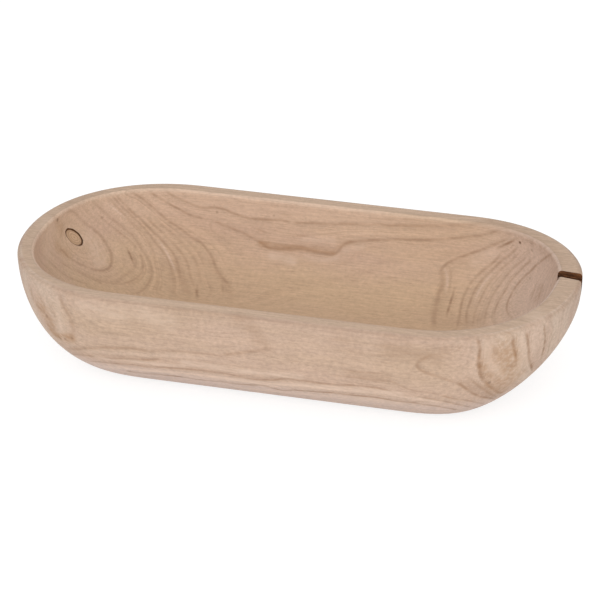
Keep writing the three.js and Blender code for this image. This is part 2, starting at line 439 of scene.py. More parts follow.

# Lines of the grain: how dark each is, half its width in millimetres, and its way across the
# photograph, in pixels from the top left corner, as read off it. Below 0, the line is pale.
GRAIN_LINES = [
    # Left end of the cavity
    (0.35, 1.2, [(65, 213), (70, 210), (75, 212), (78, 216), (82, 220), (88, 226), (94, 229)]),
    (0.6, 1.3, [(92, 228), (99, 234), (103, 239), (107, 245), (110, 250), (112, 255), (112, 261),
        (111, 267), (106, 270), (100, 271), (95, 270), (90, 268)]),
    (0.4, 1.1, [(92, 269), (82, 265), (76, 262), (71, 259), (66, 255), (63, 250), (57, 248)]),
    (0.95, 1.0, [(128, 250), (131, 257), (134, 264)]),
    (0.4, 1.0, [(97, 213), (101, 217), (105, 221), (110, 225), (115, 229), (121, 234), (127, 238),
        (132, 242), (136, 248), (138, 251)]),
    (0.5, 1.1, [(137, 249), (139, 252), (142, 257), (143, 263), (143, 268), (142, 273), (138, 277),
        (134, 280), (127, 283), (120, 284)]),
    (0.3, 1.1, [(122, 284), (118, 284), (108, 283), (98, 280), (88, 276), (80, 272)]),
    (0.4, 1.2, [(93, 201), (98, 206), (102, 210), (106, 214), (111, 218), (116, 222), (121, 226),
        (127, 231), (133, 235), (136, 240), (140, 246), (144, 252), (147, 257), (150, 262), (152, 269),
        (152, 276), (149, 283), (144, 290), (136, 293), (130, 295)]),
    (0.3, 1.2, [(108, 197), (113, 203), (118, 208), (123, 213), (128, 219), (134, 225), (140, 231),
        (145, 237), (149, 243), (153, 251), (155, 261), (157, 270), (158, 277), (157, 284), (154, 291)]),
    (0.4, 1.1, [(112, 196), (118, 202), (124, 208), (130, 214), (136, 220), (142, 225), (148, 233),
        (153, 239), (158, 246), (164, 252), (168, 260), (171, 268), (173, 276), (174, 285)]),
    (0.5, 1.2, [(117, 196), (121, 201), (126, 206), (132, 212), (139, 218), (144, 223), (150, 229),
        (155, 234), (160, 238), (166, 245), (171, 250), (175, 256), (177, 262), (179, 268), (179, 274),
        (181, 282)]),
    (-0.5, 1.0, [(160, 242), (166, 251), (171, 261), (175, 270)]),
    (-0.6, 0.9, [(109, 204), (116, 210), (124, 217)]),
    (0.4, 1.2, [(146, 217), (151, 222), (156, 227), (162, 232), (167, 237), (174, 244), (179, 250),
        (183, 255), (187, 261), (189, 270), (191, 279), (195, 288)]),
    (0.28, 1.4, [(158, 222), (168, 230), (176, 237), (184, 245), (190, 252), (196, 261), (199, 270),
        (200, 280)]),
    (0.9, 1.4, [(197, 287), (197, 297)]),
    (0.5, 1.3, [(130, 191), (136, 195), (142, 198), (146, 202), (152, 206), (158, 212), (162, 215),
        (166, 219), (171, 223), (177, 226), (182, 230), (186, 233), (191, 237), (196, 240), (201, 242),
        (205, 247), (208, 251), (212, 256), (214, 261), (215, 266), (218, 272), (222, 278), (227, 282),
        (230, 287)]),
    (0.5, 1.2, [(222, 283), (223, 290), (223, 296)]),
    (0.6, 1.2, [(150, 192), (153, 194), (161, 199), (166, 202), (171, 205), (177, 208), (182, 211),
        (187, 214), (193, 216), (198, 217), (204, 219)]),
    (0.35, 1.0, [(60, 262), (68, 267), (75, 271), (83, 274), (89, 278), (95, 280), (104, 285)]),
    (0.3, 1.0, [(41, 254), (47, 259), (53, 265), (60, 271), (68, 277), (78, 281), (90, 285)]),
    # Back wall of the cavity
    (0.55, 1.3, [(165, 190), (170, 194), (177, 198), (183, 200), (189, 203), (196, 206), (202, 208),
        (209, 208), (214, 207), (219, 208), (225, 209), (230, 212), (235, 214), (243, 217), (250, 219),
        (260, 219), (269, 220), (279, 220), (285, 221), (293, 223)]),
    (0.5, 1.4, [(292, 223), (304, 223), (315, 223), (326, 224), (337, 224), (348, 224), (358, 224),
        (367, 225), (377, 224), (389, 226), (400, 225), (412, 226), (430, 226), (445, 226), (458, 225),
        (470, 224), (485, 223)]),
    (0.55, 1.3, [(214, 221), (219, 223), (225, 226), (230, 227), (235, 230), (240, 231), (245, 234),
        (250, 237), (257, 240), (261, 243), (266, 247), (271, 249), (280, 250), (287, 249), (297, 249),
        (306, 250), (315, 252), (321, 253), (329, 255), (337, 254), (340, 249), (344, 244), (350, 242),
        (362, 241), (373, 240), (389, 240), (400, 239), (412, 240), (428, 240), (437, 240), (447, 239),
        (457, 238), (465, 237), (477, 236), (483, 235), (490, 233), (498, 231)]),
    (0.6, 1.0, [(296, 236), (305, 236), (312, 237)]),
    (0.4, 1.0, [(280, 214), (288, 215), (295, 216)]),
    (0.35, 1.0, [(255, 228), (262, 231), (268, 233)]),
    # Right end of the cavity
    (0.6, 1.3, [(508, 238), (503, 241), (498, 243), (492, 246), (485, 248), (480, 251), (475, 252),
        (469, 254), (462, 257), (455, 259), (449, 262), (444, 266), (440, 270), (440, 273)]),
    (0.42, 2.1, [(441, 270), (441, 275), (443, 280), (443, 284), (441, 288), (438, 293), (438, 298),
        (437, 302), (435, 308), (434, 314), (434, 320), (435, 327)]),
    (0.9, 1.1, [(516, 239), (512, 241), (509, 243), (504, 245), (498, 248)]),
    (0.3, 1.2, [(450, 266), (451, 274), (451, 280), (450, 286), (449, 294)]),
    (-0.4, 1.2, [(444, 267), (447, 274), (448, 282), (446, 290)]),
    (0.85, 1.1, [(454, 290), (453, 295), (451, 300), (450, 305), (448, 310), (447, 315)]),
    (0.5, 1.2, [(502, 253), (498, 257), (493, 263), (490, 265), (483, 270), (478, 275), (473, 280),
        (469, 285), (466, 291), (463, 298), (461, 306), (460, 313), (459, 321), (457, 327)]),
    (0.48, 1.2, [(517, 247), (514, 252), (508, 256), (502, 260), (498, 264), (492, 270), (487, 275),
        (481, 281), (477, 286), (473, 294), (470, 302), (467, 310), (466, 317), (467, 325)]),
    (-0.4, 1.0, [(492, 274), (486, 280), (482, 286), (478, 292), (475, 300)]),
    (0.38, 1.1, [(520, 252), (512, 260), (506, 265), (500, 270), (495, 277), (490, 282), (486, 288),
        (482, 296), (479, 303), (475, 312), (473, 321), (473, 327)]),
    (0.38, 1.1, [(528, 256), (519, 263), (512, 269), (506, 276), (501, 283), (496, 290), (492, 296),
        (490, 301), (487, 308), (485, 316), (484, 323)]),
    (0.5, 1.1, [(533, 259), (525, 265), (519, 272), (514, 277), (510, 281), (508, 286), (505, 291),
        (501, 297), (497, 304), (495, 310), (494, 318)]),
    (0.6, 1.1, [(553, 253), (548, 256), (544, 259), (539, 263), (536, 265), (531, 271), (526, 275),
        (521, 280), (518, 284), (514, 289), (512, 293), (508, 300), (507, 305), (506, 309), (508, 314),
        (511, 318)]),
    (0.35, 1.3, [(536, 287), (533, 293), (531, 299), (530, 303)]),
    (0.4, 1.5, [(551, 298), (546, 302), (542, 305)]),
    # Right end outside
    (0.9, 1.4, [(475, 338), (479, 340), (479, 344), (480, 349), (479, 356), (479, 362)]),
    (1.2, 1.9, [(479, 360), (479, 366), (480, 371), (481, 376), (484, 381)]),
    (0.75, 1.4, [(483, 379), (488, 385), (493, 389), (498, 393), (502, 394), (505, 391)]),
    (0.6, 1.2, [(502, 332), (510, 332), (513, 336)]),
    (1.0, 1.6, [(513, 335), (513, 343), (514, 348), (516, 355), (516, 360), (515, 365)]),
    (0.6, 2.0, [(515, 364), (510, 366), (506, 369)]),
    (1.0, 1.4, [(526, 331), (527, 335), (528, 343), (529, 348), (529, 353), (529, 359), (531, 365),
        (533, 372)]),
    (0.85, 1.3, [(544, 325), (544, 327), (545, 333), (545, 342), (544, 348), (542, 355), (541, 360)]),
    (0.5, 1.4, [(555, 332), (551, 339), (549, 346), (548, 353), (546, 357)]),
    # Front
    (0.55, 1.4, [(432, 355), (423, 359), (417, 362), (416, 366), (420, 370), (429, 374), (439, 377),
        (447, 380), (455, 382)]),
    (0.85, 1.4, [(455, 382), (462, 385), (466, 389), (470, 391), (474, 394), (481, 397), (489, 398),
        (495, 399)]),
    (0.6, 1.2, [(470, 379), (475, 383), (480, 387), (486, 391), (492, 395), (498, 398)]),
    (0.3, 1.1, [(330, 375), (339, 376), (349, 377), (360, 378), (371, 380), (384, 381), (391, 381),
        (399, 385), (406, 388), (415, 391), (423, 392), (433, 393), (443, 396)]),
    (0.6, 1.2, [(440, 395), (454, 399), (465, 400), (475, 402), (485, 404)]),
    (0.4, 1.1, [(345, 370), (360, 372), (371, 373), (385, 373)]),
    (0.55, 1.2, [(420, 397), (432, 399), (444, 401), (456, 404), (469, 407), (478, 408)]),
    (0.5, 1.6, [(67, 349), (77, 349), (89, 348), (95, 348), (104, 347), (113, 348), (123, 348),
        (133, 348), (141, 350), (150, 351)]),
    (0.35, 1.5, [(148, 351), (161, 350), (174, 351), (186, 352), (195, 353), (207, 354), (217, 355),
        (224, 358)]),
    (0.5, 1.7, [(222, 355), (237, 354), (245, 352), (255, 351), (265, 350), (268, 346), (266, 343)]),
    (-0.18, 2.0, [(88, 352), (110, 353), (130, 354), (150, 356), (180, 356), (210, 359)]),
    (0.65, 1.2, [(71, 354), (81, 355), (94, 356), (98, 357), (110, 358), (123, 359), (136, 359),
        (148, 360), (160, 359)]),
    (0.6, 1.2, [(89, 361), (98, 362), (110, 363), (123, 364), (136, 365), (148, 367), (161, 367),
        (174, 368), (186, 369), (199, 370), (212, 372), (224, 373), (237, 376), (250, 379), (262, 380),
        (275, 380), (286, 378), (297, 380), (307, 381), (318, 383), (328, 384), (339, 385), (349, 385),
        (363, 386), (377, 388), (387, 390), (398, 394)]),
    (-0.4, 1.5, [(100, 367), (124, 368), (150, 371), (180, 372), (210, 376), (236, 380), (262, 384),
        (300, 385), (340, 390), (380, 393), (410, 398), (440, 402)]),
    (0.8, 1.3, [(125, 371), (133, 372), (142, 373), (152, 374), (163, 375), (174, 376), (184, 377),
        (194, 379), (203, 380), (212, 381), (224, 382), (237, 384), (250, 385), (262, 385), (273, 388),
        (283, 391), (293, 390), (307, 391), (321, 392), (335, 393), (349, 395), (363, 396), (374, 397),
        (385, 399), (395, 401), (405, 402), (416, 403), (426, 405), (437, 406), (447, 408), (458, 410)]),
    # Left end outside
    (0.6, 1.8, [(30, 287), (32, 294), (33, 299), (36, 304), (41, 309), (45, 313), (47, 317), (50, 320)]),
    (0.4, 1.4, [(47, 319), (48, 328)]),
    (0.5, 2.1, [(60, 294), (61, 301), (64, 307), (68, 313), (71, 320), (73, 325), (74, 330), (73, 335),
        (72, 339)]),
]

# A line is read every so many pixels, and smoothed so many times. It ends at a step over the
# longest, in millimetres, where it would jump to another surface.
READ_EVERY = 2.5
SMOOTHINGS = 3
LONGEST_STEP = 16

# The rings are bent at every third point of the lines. The bends reach so many millimetres each
# way, first the broad ones and then the close ones, and are eased to stay smooth.
BEND_EVERY = 3
BEND_REACHES = [(26, 18, 18), (11, 9, 9)]
BEND_EASE = 0.1

# A line is drawn within a reach in millimetres. It fades over its last points at each end, and
# over the outer third of its reach. Where there is none, its gap is this many half widths.
LINE_REACH = 4.5
NO_LINE = 9.0
FADING_POINTS = 3
REACH_PARTS = 3

# The step in millimetres that finds the slope of the rings, the shortest length that a direction
# is divided by, and how many points are worked out at once
RING_STEP = 0.5
SHORTEST = 0.001
BATCH = 4000

# How plainly the fine rings show, from 0 to 1, and where that changes: centre, reach, and change
RING_SHARE = 0.6
RING_CHANGES = [
    ((25, 20, 25), (105, 85, 45), -0.45),
    ((0, -112, 62), (120, 30, 30), -0.25),
    ((-160, 40, 50), (60, 80, 60), 0.35),
    ((190, 0, 50), (50, 90, 60), 0.4),
    ((20, 132, 45), (220, 20, 70), 0.7),
]


def rising(value, middle, softness):
    """A share that rises from 0 to 1 as a value passes a middle."""
    return 1 / (1 + np.exp(-(value - middle) / softness))


def hills(points, changes):
    """The sum of soft hills, each with a centre, its reach each way, and its height."""
    total = np.zeros(len(points))
    for centre, reach, height in changes:
        away = (points - np.array(centre)) / np.array(reach)
        total += height * np.exp(-np.sum(away ** 2, axis=1))
    return total


def heart(x, curve):
    """Where the middle of the tree lies in one direction, at a place along the block."""
    part = x / HEART_STEP
    start, slope, turn = curve
    return start + slope * part + turn * part ** 2


def round_knot(y, z):
    """The ring value in the wall round the knot, where the rings are ovals about it."""
    y = y - KNOT_EYE[0]
    z = z - KNOT_EYE[1]
    lean_y, lean_z = KNOT_OVAL_LEAN
    along = lean_y * y - lean_z * z
    across = lean_z * y + lean_y * z
    return KNOT_RING + KNOT_RING_GROWTH * np.hypot(along / KNOT_OVAL[0], across / KNOT_OVAL[1])


def plain_rings(points):
    """The ring value before it is bent to the lines of the photograph."""
    x, y, z = points.T
    trunk = np.hypot(HEART_FLATNESS * (y - heart(x, HEART_Y)), z - heart(x, HEART_Z))
    in_front = rising(-y, *FRONT_FROM) * rising(-np.abs(x - FRONT_MIDDLE), *FRONT_ENDS)
    straight_trunk = np.hypot(HEART_FLATNESS * (y - FRONT_HEART[0]), z - FRONT_HEART[1])
    trunk = between(trunk, straight_trunk, in_front)
    near_knot = rising(-x, *KNOT_END) * rising(y, *KNOT_SIDE)
    value = (1 - near_knot) * trunk + near_knot * round_knot(y, z) + hills(points, BENDS)
    ridge = np.exp(-((x + z - RIDGE_PLACE) / RIDGE_WIDTH) ** 2)
    return value + RIDGE_HEIGHT * ridge * rising(y, *RIDGE_BACK) * rising(-x, *RIDGE_LEFT)


def on_surface(skin, pixel):
    """Where a pixel of the photograph lies on the bowl, in millimetres, or None beside it."""
    place, right, up, forward = camera_axes()
    centre_x = IMAGE_SIZE / 2 - CAMERA_SHIFT[0]
    centre_y = IMAGE_SIZE / 2 + CAMERA_SHIFT[1]
    ray = forward * CAMERA_FOCUS + right * (pixel[0] - centre_x) + up * (centre_y - pixel[1])
    hit = skin.ray_cast(place * MM, ray.normalized())[0]
    return None if hit is None else hit / MM


def read_line(skin, pixels):
    """A line's points on the bowl, close together along it, up to where it leaves the surface."""
    corners = np.array(pixels, dtype=float)
    run = np.concatenate([[0], np.cumsum(np.hypot(*np.diff(corners, axis=0).T))])
    even = np.linspace(0, run[-1], max(3, round(run[-1] / READ_EVERY) + 1))
    spots = np.stack([np.interp(even, run, corners[:, 0]), np.interp(even, run, corners[:, 1])], axis=1)
    for _ in range(SMOOTHINGS):
        spots[1:-1] = (spots[:-2] + 2 * spots[1:-1] + spots[2:]) / 4
    hits = [on_surface(skin, spot) for spot in spots]
    way = np.array([tuple(hit) for hit in hits if hit is not None])
    jumps = np.where(np.linalg.norm(np.diff(way, axis=0), axis=1) > LONGEST_STEP)[0]
    return way[: jumps[0] + 1] if len(jumps) else way


def closeness(points, others, reach):
    """How close each point is to each of the others: 1 at the same place, and near 0 past a reach."""
    away = (points[:, None, :] - others[None, :, :]) / np.array(reach)
    return np.exp(-np.sum(away ** 2, axis=2, dtype=np.float32), dtype=np.float32)


def bent_rings(ways):
    """A function that gives points their bent ring value and its slope each way."""
    fixed = np.concatenate([way[::BEND_EVERY] for way in ways])
    owner = np.concatenate([np.full(len(way[::BEND_EVERY]), number) for number, way in enumerate(ways)])
    same_line = (owner[:, None] == np.arange(len(ways))).astype(float)
    ease = BEND_EASE * np.eye(len(fixed))
    plain = plain_rings(fixed)
    # The value of each line is the one that needs the least bending of the rings
    spread = np.linalg.solve(closeness(fixed, fixed, BEND_REACHES[0]) + ease, same_line)
    line_values = np.linalg.solve(same_line.T @ spread, spread.T @ plain)
    left = same_line @ line_values - plain
    moments = []
    for reach in BEND_REACHES:
        pull = closeness(fixed, fixed, reach).astype(float)
        weights = np.linalg.solve(pull + ease, left)
        left = left - pull @ weights
        moments.append(np.concatenate([weights[:, None], weights[:, None] * fixed], axis=1))

    def rings(points):
        values = plain_rings(points)
        slope = [(plain_rings(points + axis * RING_STEP) - values) / RING_STEP for axis in np.eye(3)]
        slope = np.stack(slope, axis=1)
        for start in range(0, len(points), BATCH):
            part = slice(start, start + BATCH)
            for reach, moment in zip(BEND_REACHES, moments):
                bend = closeness(points[part], fixed, reach) @ moment
                values[part] += bend[:, 0]
                slope[part] += 2 / np.array(reach) ** 2 * (bend[:, 1:] - points[part] * bend[:, :1])
        return values, slope

    return rings


def line_sheets(ways, points, normals, slope):
    """For each sheet of lines, a point's distance from its nearest line in half widths of it, above
    0 towards the bark, and how dark the line is there. Lines close together go on different sheets."""
    sheets = []
    for (dark, half_width, _), way in zip(GRAIN_LINES, ways):
        for sheet in sheets:
            gaps = [np.linalg.norm(way[:, None] - other[None], axis=2).min() for other in sheet["ways"]]
            if min(gaps) > 2 * LINE_REACH:
                break
        else:
            sheet = {"ways": [], "gap": np.full(len(points), NO_LINE), "dark": np.zeros(len(points))}
            sheets.append(sheet)
        sheet["ways"].append(way)
        low = way.min(axis=0) - LINE_REACH
        high = way.max(axis=0) + LINE_REACH
        near = np.where(np.all((points > low) & (points < high), axis=1))[0]
        away = np.linalg.norm(points[near][:, None] - way[None], axis=2)
        near = near[away.min(axis=1) < LINE_REACH]
        away = away[away.min(axis=1) < LINE_REACH]
        nearest = away.argmin(axis=1)
        side = np.cross(normals[near], np.gradient(way, axis=0)[nearest])
        side /= np.maximum(np.linalg.norm(side, axis=1), SHORTEST)[:, None]
        side *= np.sign(np.sum(side * slope[near]))
        end_fade = np.clip((np.minimum(nearest, len(way) - 1 - nearest) + 1) / FADING_POINTS, 0, 1)
        side_fade = np.clip((1 - away.min(axis=1) / LINE_REACH) * REACH_PARTS, 0, 1)
        sheet["gap"][near] = np.sum((points[near] - way[nearest]) * side, axis=1) / half_width
        sheet["dark"][near] = dark * end_fade * side_fade
    return sheets


def add_attribute(mesh, name, values):
    layer = mesh.attributes.new(name, "FLOAT", "POINT")
    layer.data.foreach_set("value", np.asarray(values, dtype=np.float32))


def mesh_points(mesh):
    flat = np.empty(len(mesh.vertices) * 3, dtype=np.float32)
    mesh.vertices.foreach_get("co", flat)
    return flat.reshape(-1, 3).astype(float) / MM


def mesh_normals(mesh):
    flat = np.empty(len(mesh.vertices) * 3, dtype=np.float32)
    mesh.vertices.foreach_get("normal", flat)
    return flat.reshape(-1, 3).astype(float)


def add_rings(mesh, rings, ways):
    """Writes on a mesh what its material needs to draw the grain."""
    points = mesh_points(mesh)
    normals = mesh_normals(mesh)
    values, slope = rings(points)
    slope -= normals * np.sum(slope * normals, axis=1)[:, None]
    add_attribute(mesh, "ring", values)
    add_attribute(mesh, "ring_grade", np.linalg.norm(slope, axis=1))
    add_attribute(mesh, "ring_share", np.clip(RING_SHARE + hills(points, RING_CHANGES), 0, 1))
    sheets = line_sheets(ways, points, normals, slope)
    for number, sheet in enumerate(sheets):
        add_attribute(mesh, f"line_gap_{number}", sheet["gap"])
        add_attribute(mesh, f"line_dark_{number}", sheet["dark"])
    return len(sheets)


# Marks: strength, half width in millimetres, and middle line in pixels of the photograph. Below 0,
# a mark is pale. Stains are brown, and shades only darker or paler. Shades are partly bands of the
# grain and partly painted shade and painted light where the lamp and the floor light the bowl unevenly.
STAINS_AND_PAINTED_SHADE = [
    (0.6, 2.6, [(261, 243), (266, 245), (273, 246), (284, 248), (296, 248), (310, 249), (324, 251),
        (333, 252)]),
    (0.45, 2.0, [(284, 249), (300, 249), (316, 251), (330, 253)]),
    (0.3, 1.6, [(336, 249), (342, 244), (350, 242)]),
    (0.3, 4.0, [(56, 221), (61, 226), (62, 232)]),
    (0.3, 4.0, [(57, 246), (61, 251), (67, 254)]),
    (0.75, 4.2, [(52, 331), (57, 336), (63, 338), (71, 338)]),
    (0.5, 8.0, [(41, 306), (47, 316), (51, 327)]),
    # These two broad stains at the foot of the right end are partly painted shade
    (0.6, 13.0, [(505, 353), (511, 364), (505, 378)]),
    (0.45, 7.0, [(519, 374), (508, 384)]),
    (0.5, 4.0, [(482, 362), (485, 369), (490, 377)]),
    (0.4, 3.5, [(499, 349), (505, 353), (504, 360)]),
    (0.5, 4.0, [(512, 350), (513, 358), (510, 366), (504, 370)]),
    (0.45, 4.0, [(488, 385), (496, 390), (503, 391)]),
]
GRAIN_SHADES_AND_PAINTED_LIGHT = [
    (-0.6, 3.2, [(272, 256), (282, 258), (293, 261)]),
    (-0.6, 1.6, [(305, 256), (312, 258), (320, 260), (330, 260), (338, 257)]),
    (-0.4, 2.2, [(345, 250), (353, 248), (362, 247)]),
    (-0.4, 2.6, [(303, 239), (314, 239), (323, 240), (333, 241)]),
    (-0.4, 7.0, [(88, 238), (96, 249), (99, 261)]),
    (-0.4, 9.0, [(50, 226), (46, 240), (48, 252)]),
    (-0.4, 4.5, [(474, 261), (484, 257), (495, 252)]),
    (0.3, 4.0, [(175, 262), (179, 272), (184, 283), (188, 293)]),
    (0.25, 3.5, [(212, 262), (217, 272), (223, 281), (228, 290), (232, 298)]),
    (0.2, 4.0, [(444, 272), (446, 284), (441, 296), (438, 310), (437, 324)]),
    (0.35, 4.0, [(541, 289), (540, 294), (537, 299)]),
    (0.35, 6.0, [(238, 319), (248, 324), (254, 333), (259, 341), (266, 347)]),
    (0.35, 3.5, [(423, 358), (433, 353), (446, 349), (458, 347)]),
    (0.35, 9.0, [(390, 347), (415, 352), (440, 356)]),
    (0.3, 4.0, [(350, 375), (370, 377), (388, 378)]),
    (-0.3, 8.0, [(82, 306), (100, 311), (122, 314)]),
    (-0.25, 3.0, [(58, 300), (59, 315), (59, 328)]),
    (0.25, 5.0, [(468, 384), (482, 390), (494, 395)]),
    (-0.3, 2.6, [(488, 345), (488, 358), (496, 371), (504, 377)]),
    (-0.3, 3.0, [(521, 338), (522, 352), (522, 366)]),
    (0.35, 6.0, [(490, 222), (513, 229), (534, 240), (552, 254)]),
    (0.2, 5.0, [(64, 206), (80, 199), (96, 194)]),
    (0.2, 6.0, [(559, 256), (559, 268)]),
    (-0.3, 7.0, [(136, 311), (150, 316), (168, 322)]),
    (-0.6, 2.0, [(96, 357), (109, 359), (153, 364), (183, 366.5)]),
    (-0.6, 1.6, [(141, 369), (165, 372), (188, 374.5)]),
    (-0.6, 3.0, [(184, 363), (212, 367), (240, 371), (270, 374), (300, 376.5)]),
    (-0.6, 2.6, [(212, 376.5), (235, 380), (256, 382.5), (300, 385), (350, 389), (400, 393)]),
    (-0.4, 3.0, [(240, 388), (290, 393), (340, 397), (400, 403)]),
    (-0.3, 7.0, [(537, 314), (537, 332), (532, 348)]),
    (0.2, 7.0, [(448, 322), (468, 322), (480, 320)]),
    (0.2, 8.0, [(340, 340), (352, 345)]),
    (0.25, 5.0, [(53, 330), (54, 318), (52, 308)]),
]

# Small dark spots: pixel of the photograph, radius in millimetres, and how dark
SPOTS = [
    ((57.5, 220), 2.0, 0.5),
    ((520, 242.5), 1.5, 0.9),
    ((532, 244), 3.0, 0.2),
    ((532, 250.5), 1.4, 0.3),
    ((489.5, 382.5), 1.8, 0.45),
    ((496, 353), 2.5, 0.15),
    ((551, 285), 1.8, 0.2),
    ((544, 281.5), 1.8, 0.12),
    ((530, 278), 1.5, 0.2),
    ((102, 217.5), 1.6, 0.25),
    ((217, 212), 1.6, 0.3),
    ((274, 215.5), 1.3, 0.25),
    ((47, 316), 2.0, 0.3),
    ((60, 338), 2.5, 0.3),
    ((65, 339), 2.0, 0.3),
    ((72, 338), 1.6, 0.35),
    # These two paint the split's small torn corner towards the cavity: its dark wood and painted shade
    ((557.9, 278.6), 2.4, 0.9),
    ((557.4, 279.8), 2.4, 0.9),
]

# Painted shade on the rounded outer edge of the rim: how far inside the outline, and how wide, it lies
EDGE_SHADE_PLACE = 1.5
EDGE_SHADE_SPREAD = 1.4
EDGE_SHADE_SOFTNESS = 0.4

# At the front the painted edge shade is this much as dark as at the back, with the change this soft
EDGE_SHADE_FRONT_SHARE = 0.6
EDGE_SHADE_FRONT_SOFTNESS = 30

# A face that looks up more than this, low in the bowl, is its floor
FLOOR_FACING = 0.7


def add_marks(mesh, skin, name, marks):
    """Writes on a mesh how strong marks are: the darkest and the palest at a point, added up."""
    points = mesh_points(mesh)
    darkest = np.zeros(len(points))
    palest = np.zeros(len(points))
    for strength, half_width, pixels in marks:
        way = read_line(skin, pixels)
        away = np.linalg.norm(points[:, None] - way[None], axis=2).min(axis=1)
        share = np.clip(1 - away / (2 * half_width), 0, 1)
        mark = strength * share ** 2 * (3 - 2 * share)
        darkest = np.maximum(darkest, mark)
        palest = np.minimum(palest, mark)
    add_attribute(mesh, name, darkest + palest)


def add_side(mesh):
    """On a mesh, how far each point belongs to the cavity, and the painted shade on the rim's outer edge.
    """
    points = mesh_points(mesh)
    normals = mesh_normals(mesh)
    past = np.maximum(np.abs(points[:, 0]) - RIM["straight"], 0)
    inward = np.stack([past * np.sign(points[:, 0]), points[:, 1], np.zeros(len(points))], axis=1)
    inward /= np.maximum(np.linalg.norm(inward, axis=1), 1)[:, None]
    facing = -np.sum(inward * normals, axis=1)
    level = (normals[:, 2] > FLOOR_FACING) & (points[:, 2] < HEIGHT / 2)
    add_attribute(mesh, "inside", np.where(level, 1, np.clip(0.5 + facing, 0, 1)))
    # Painted shade along the rim's rounded outer edge, darker at the back than at the front
    share_x = past / (LENGTH / 2 - RIM["straight"])
    share_y = np.abs(points[:, 1]) / (WIDTH / 2)
    share = (share_x ** RIM["power"] + share_y ** RIM["power"]) ** (1 / RIM["power"])
    from_edge = (1 - share) * WIDTH / 2
    edge = np.exp(-((from_edge - EDGE_SHADE_PLACE) / EDGE_SHADE_SPREAD) ** 2)
    to_back = between(EDGE_SHADE_FRONT_SHARE, 1, rising(points[:, 1], 0, EDGE_SHADE_FRONT_SOFTNESS))
    edge *= rising(points[:, 2], HEIGHT - RIM_EDGE_RADIUS, EDGE_SHADE_SOFTNESS) * to_back
    add_attribute(mesh, "edge", edge)


# Finishes

def linear(red, green, blue):
    """A colour written as 0 to 255 on a screen, as the shader's linear colour."""
    shares = [c / 255 for c in (red, green, blue)]
    return [s / 12.92 if s <= 0.04045 else ((s + 0.055) / 1.055) ** 2.4 for s in shares] + [1.0]


# The even dark middle of a spot, as a share of its radius
SPOT_CORE = 0.3

# Growth rings: how often and how far their spacing wavers, where in its width each darkens and
# ends, and which of their random strengths show
RING_WAVERS = 0.4
RING_WAVER = 2.0
RING_DARKENS = (0.25, 0.9)
RING_ENDS = (1.0, 0.86)
RING_STRENGTHS = (0.1, 1.0)


